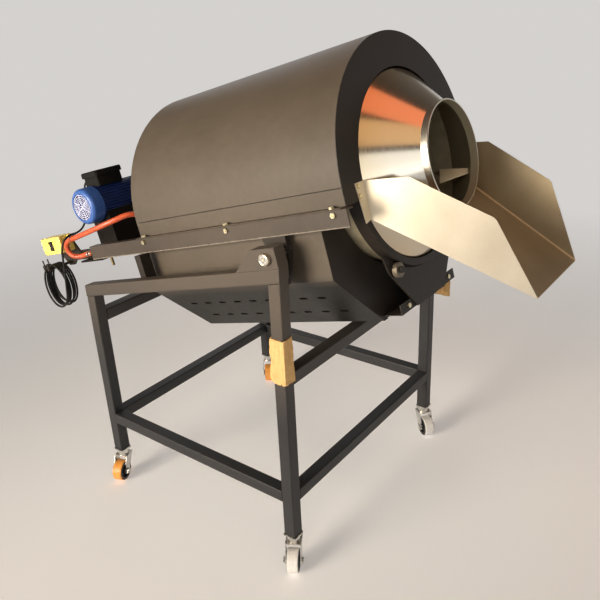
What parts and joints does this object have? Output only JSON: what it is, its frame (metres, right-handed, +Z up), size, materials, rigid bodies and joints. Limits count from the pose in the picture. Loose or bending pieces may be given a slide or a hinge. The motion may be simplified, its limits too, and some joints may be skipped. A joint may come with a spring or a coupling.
{
  "type": "rotary drum roaster",
  "caption": "Gas-fired drum roaster on a wheeled tube stand: a motor turns the tilted drum inside a half-round casing, and the body tips on side pivots to pour down its chute.",
  "frame": {"origin": "on the floor below the centre of the stand", "axes": "+X towards the drum's mouth and chute, +Y to the left of one who looks that way, +Z up"},
  "size_m": [1.7102, 0.9572, 1.5255],
  "materials": {
    "stand_paint": "satin",
    "casing_paint": "satin",
    "tyre_paint": "satin",
    "stainless": "brushed",
    "drum_steel": "satin",
    "zinc_steel": "bright",
    "iron": "matte",
    "gear_alloy": "satin",
    "motor_paint": "satin",
    "fan_paint": "satin",
    "black_plastic": "matte",
    "yellow_plastic": "satin",
    "brass": "satin",
    "hose_rubber": "satin",
    "lead_rubber": "matte",
    "card": "matte",
    "orange_wheel": "satin",
    "white_wheel": "satin"
  },
  "bodies": {
    "stand": {"leg_front_near": "stand_paint", "leg_front_far": "stand_paint", "leg_rear_near": "stand_paint", "leg_rear_far": "stand_paint", "top_rail_near": "stand_paint", "top_rail_far": "stand_paint", "stand_rails": "stand_paint", "pivot_brackets": "stand_paint", "pivot_bolts": "zinc_steel", "rest_stops": "stand_paint", "leg_sleeves": "card", "caster_plates": "zinc_steel"},
    "tilting_body": {"side_rail_near": "casing_paint", "side_rail_far": "casing_paint", "hood_shell": "casing_paint", "hood_flanges": "casing_paint", "hood_front_plate": "casing_paint", "hood_rear_plate": "casing_paint", "box_side_near": "casing_paint", "box_side_far": "casing_paint", "box_floor": "casing_paint", "box_front_panel": "casing_paint", "box_rear_panel": "casing_paint", "trunnion_plates": "casing_paint", "roller_carrier": "casing_paint", "chute": "stainless", "bearing_beam": "casing_paint", "pillow_block": "iron", "drive_platform": "casing_paint", "gearbox": "gear_alloy", "motor_housing": "motor_paint", "fan_cover": "fan_paint", "terminal_box": "black_plastic", "burner_tubes": "iron", "gas_manifold": "iron", "gas_inlet": "brass", "switch_arm": "casing_paint", "switch_box": "yellow_plastic", "frame_bolts": "zinc_steel", "gas_hose": "hose_rubber", "motor_lead": "lead_rubber", "mains_lead": "lead_rubber", "mains_plug": "black_plastic"},
    "drum": {"drum_shell": "drum_steel", "tyre_ring": "tyre_paint", "mouth_cone": "stainless", "drum_shaft": "drum_steel", "drum_flights": "stainless"},
    "roller_near": {"roller_near": "drum_steel"},
    "roller_far": {"roller_far": "drum_steel"},
    "motor_rotor": {"motor_fan": "black_plastic"},
    "rocker": {"switch_rocker": "black_plastic"},
    "fork_rear_near": {"caster_fork_rear_near": "zinc_steel"},
    "wheel_rear_near": {"caster_wheel_rear_near": "orange_wheel"},
    "fork_front_near": {"caster_fork_front_near": "zinc_steel"},
    "wheel_front_near": {"caster_wheel_front_near": "white_wheel"},
    "fork_front_far": {"caster_fork_front_far": "zinc_steel"},
    "wheel_front_far": {"caster_wheel_front_far": "white_wheel"},
    "fork_rear_far": {"caster_fork_rear_far": "zinc_steel"},
    "wheel_rear_far": {"caster_wheel_rear_far": "orange_wheel"}
  },
  "joints": [
    {"name": "body_tilt", "type": "hinge", "parent": "stand", "child": "tilting_body", "pos_m": [0.3804, 0, 1.01331], "axis": [0, 1, 0], "range_deg": [0, 50]},
    {"name": "drum_spin", "type": "hinge", "parent": "tilting_body", "child": "drum", "pos_m": [0.55013, 0, 1.18713], "axis": [0.9668, 0, 0.2554], "continuous": true},
    {"name": "roller_near_spin", "type": "hinge", "parent": "tilting_body", "child": "roller_near", "pos_m": [0.59944, -0.16004, 0.93003], "axis": [0.9668, 0, 0.2554], "continuous": true},
    {"name": "roller_far_spin", "type": "hinge", "parent": "tilting_body", "child": "roller_far", "pos_m": [0.59944, 0.16004, 0.93003], "axis": [0.9668, 0, 0.2554], "continuous": true},
    {"name": "motor_spin", "type": "hinge", "parent": "tilting_body", "child": "motor_rotor", "pos_m": [-0.50156, -0.3, 1.00235], "axis": [0, 1, 0], "continuous": true},
    {"name": "rocker_swing", "type": "hinge", "parent": "tilting_body", "child": "rocker", "pos_m": [-0.64658, -0.396, 0.8544], "axis": [0.9668, 0, 0.2554], "range_deg": [-8, 8]},
    {"name": "swivel_rear_near", "type": "hinge", "parent": "stand", "child": "fork_rear_near", "pos_m": [-0.399, -0.428, 0.1], "axis": [0, 0, 1], "continuous": true},
    {"name": "roll_rear_near", "type": "hinge", "parent": "fork_rear_near", "child": "wheel_rear_near", "pos_m": [-0.38884, -0.45516, 0.038], "axis": [0.9367, 0.3502, 0], "continuous": true},
    {"name": "swivel_front_near", "type": "hinge", "parent": "stand", "child": "fork_front_near", "pos_m": [0.399, -0.428, 0.1], "axis": [0, 0, 1], "continuous": true},
    {"name": "roll_front_near", "type": "hinge", "parent": "fork_front_near", "child": "wheel_front_near", "pos_m": [0.41372, -0.45299, 0.038], "axis": [0.8616, 0.5075, 0], "continuous": true},
    {"name": "swivel_front_far", "type": "hinge", "parent": "stand", "child": "fork_front_far", "pos_m": [0.399, 0.428, 0.1], "axis": [0, 0, 1], "continuous": true},
    {"name": "roll_front_far", "type": "hinge", "parent": "fork_front_far", "child": "wheel_front_far", "pos_m": [0.42201, 0.41035, 0.038], "axis": [0.6088, 0.7934, 0], "continuous": true},
    {"name": "swivel_rear_far", "type": "hinge", "parent": "stand", "child": "fork_rear_far", "pos_m": [-0.399, 0.428, 0.1], "axis": [0, 0, 1], "continuous": true},
    {"name": "roll_rear_far", "type": "hinge", "parent": "fork_rear_far", "child": "wheel_rear_far", "pos_m": [-0.38017, 0.40595, 0.038], "axis": [0.7604, 0.6494, 0], "continuous": true}
  ],
  "couplings": [
    {"joint": "roller_near_spin", "follows": "drum_spin", "ratio": -13.571},
    {"joint": "roller_far_spin", "follows": "drum_spin", "ratio": -13.571},
    {"joint": "motor_spin", "follows": "drum_spin", "ratio": 30}
  ]
}
